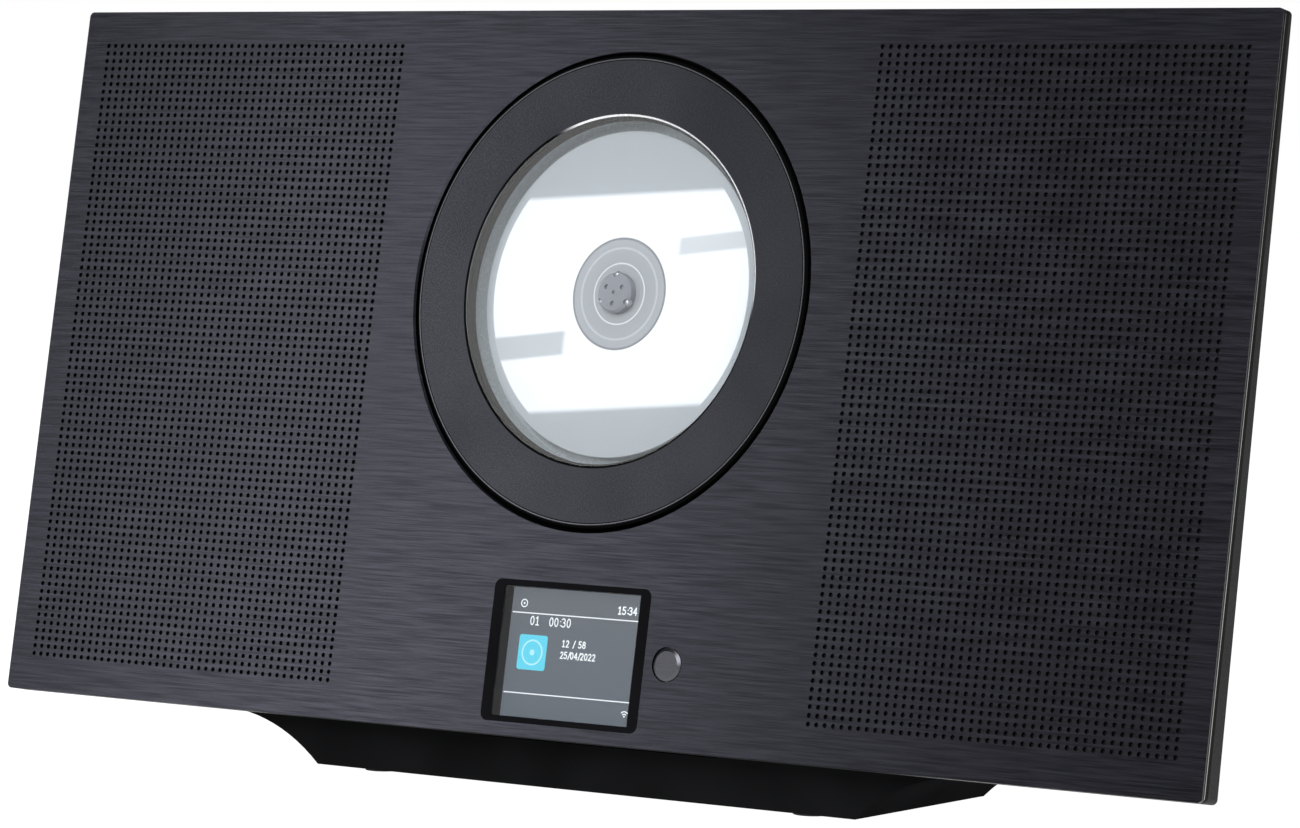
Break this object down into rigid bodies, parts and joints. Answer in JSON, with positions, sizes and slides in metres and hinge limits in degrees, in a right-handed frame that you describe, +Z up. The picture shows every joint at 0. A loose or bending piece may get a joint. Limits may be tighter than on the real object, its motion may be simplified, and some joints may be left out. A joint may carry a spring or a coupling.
{
  "type": "wall mounted cd player",
  "caption": "Flat wall-mountable compact disc player with a round see-through disc door, perforated speaker fields, a colour display and a detachable desk foot",
  "frame": {"origin": "on the table plane, under the middle of the whole object", "axes": "X to the right seen from the front, Y from the front to the back, Z up; the front panel leans back 10 degrees"},
  "size_m": [0.533, 0.0982, 0.2833],
  "materials": {
    "panel_metal": "dark anodised, fine horizontal brushing",
    "black_cloth": "open black grille cloth",
    "case_plastic": "dark grey, fine texture",
    "cover_plastic": "black, fine spark texture",
    "black_plastic": "black, smooth",
    "well_plastic": "pale grey-green, satin",
    "clear_plastic": "clear, polished",
    "lcd_glass": "lit liquid crystal screen",
    "board": "green solder mask",
    "socket_plastic": "black, smooth",
    "bright_steel": "plated, satin",
    "ferrite": "ground ferrite, dull",
    "black_screw": "black oxide",
    "zinc_screw": "bright zinc",
    "rubber": "black, matt",
    "cone_paper": "pressed paper, matt",
    "copper": "enamelled copper wire",
    "foot_plastic": "black, fine texture",
    "door_plastic": "dark metallic lacquer, smooth",
    "hub_plastic": "dark grey, satin",
    "disc_plastic": "printed polycarbonate over an aluminium layer",
    "pickup_plastic": "dark grey",
    "lens_glass": "coated lens",
    "nylon": "natural acetal",
    "brass": "turned",
    "button_metal": "satin grey, domed"
  },
  "bodies": {
    "cabinet": {"front_panel": "panel_metal", "left_grille": "panel_metal", "right_grille": "panel_metal", "grille_cloths": "black_cloth", "front_frame": "case_plastic", "rear_cover": "cover_plastic", "door_seat": "black_plastic", "disc_well": "well_plastic", "display_frame": "black_plastic", "display_lens": "clear_plastic", "lcd_module": "lcd_glass", "control_board": "board", "main_board": "board", "dc_inlet": "socket_plastic", "audio_jacks": "socket_plastic", "usb_socket": "bright_steel", "aerial_socket": "bright_steel", "speaker_baskets": "black_plastic", "speaker_magnets": "ferrite", "speaker_plates": "bright_steel", "speaker_screws": "zinc_screw", "left_surround": "rubber", "right_surround": "rubber", "deck_plate": "bright_steel", "deck_dampers": "rubber", "deck_screws": "zinc_screw", "spindle_motor": "bright_steel", "guide_rods": "bright_steel", "rod_brackets": "black_plastic", "sled_motor": "bright_steel", "gear_post": "bright_steel", "hinge_bracket": "bright_steel", "hinge_screws": "zinc_screw", "hinge_pin": "bright_steel", "latch_body": "black_plastic", "stand_foot": "foot_plastic", "foot_pads": "rubber", "foot_screws": "zinc_screw", "case_screws": "black_screw"},
    "cd_door": {"door_ring": "door_plastic", "door_window": "clear_plastic", "door_arms": "black_plastic", "door_striker": "black_plastic", "door_screws": "zinc_screw"},
    "disc_spindle": {"spindle_hub": "hub_plastic", "hub_claws": "bright_steel", "compact_disc": "disc_plastic"},
    "pickup_carriage": {"pickup_sled": "pickup_plastic", "objective_lens": "lens_glass", "sled_rack": "nylon"},
    "rack_gear": {"drive_gear": "nylon"},
    "sled_pinion": {"motor_pinion": "brass"},
    "button_cap": {"power_button": "button_metal"},
    "door_plunger": {"latch_plunger": "nylon"},
    "left_diaphragm": {"left_cone": "cone_paper", "left_dust_cap": "cone_paper", "left_voice_coil": "copper"},
    "right_diaphragm": {"right_cone": "cone_paper", "right_dust_cap": "cone_paper", "right_voice_coil": "copper"}
  },
  "joints": [
    {"name": "door_hinge", "type": "hinge", "parent": "cabinet", "child": "cd_door", "pos_m": [-0.11465, -0.01473, 0.18057], "axis": [0, -0.1736, -0.9848], "range_deg": [0, 80]},
    {"name": "spindle_spin", "type": "hinge", "parent": "cabinet", "child": "disc_spindle", "pos_m": [0, -0.01256, 0.18019], "axis": [0, 0.9848, -0.1736], "continuous": true},
    {"name": "sled_slide", "type": "slide", "parent": "cabinet", "child": "pickup_carriage", "axis": [1, 0, 0], "range_m": [0, 0.035]},
    {"name": "rack_gear_spin", "type": "hinge", "parent": "cabinet", "child": "rack_gear", "pos_m": [0.03, -0.00803, 0.14944], "axis": [0, 0.9848, -0.1736], "range_deg": [0, 252]},
    {"name": "pinion_spin", "type": "hinge", "parent": "cabinet", "child": "sled_pinion", "pos_m": [0.04575, -0.00409, 0.14874], "axis": [0, 0.9848, -0.1736], "range_deg": [-504, 0]},
    {"name": "button_press", "type": "slide", "parent": "cabinet", "child": "button_cap", "axis": [0, 0.9848, -0.1736], "range_m": [0, 0.0006], "stiffness_N_per_m": 1500},
    {"name": "plunger_press", "type": "slide", "parent": "cabinet", "child": "door_plunger", "axis": [0, 0.9848, -0.1736], "range_m": [0, 0.003], "stiffness_N_per_m": 400},
    {"name": "left_cone_travel", "type": "slide", "parent": "cabinet", "child": "left_diaphragm", "axis": [0, -0.9848, 0.1736], "range_m": [-0.0015, 0.0015], "stiffness_N_per_m": 1000},
    {"name": "right_cone_travel", "type": "slide", "parent": "cabinet", "child": "right_diaphragm", "axis": [0, -0.9848, 0.1736], "range_m": [-0.0015, 0.0015], "stiffness_N_per_m": 1000}
  ],
  "couplings": [
    {"joint": "rack_gear_spin", "follows": "sled_slide", "rad_per_m": 125},
    {"joint": "pinion_spin", "follows": "sled_slide", "rad_per_m": -250}
  ]
}
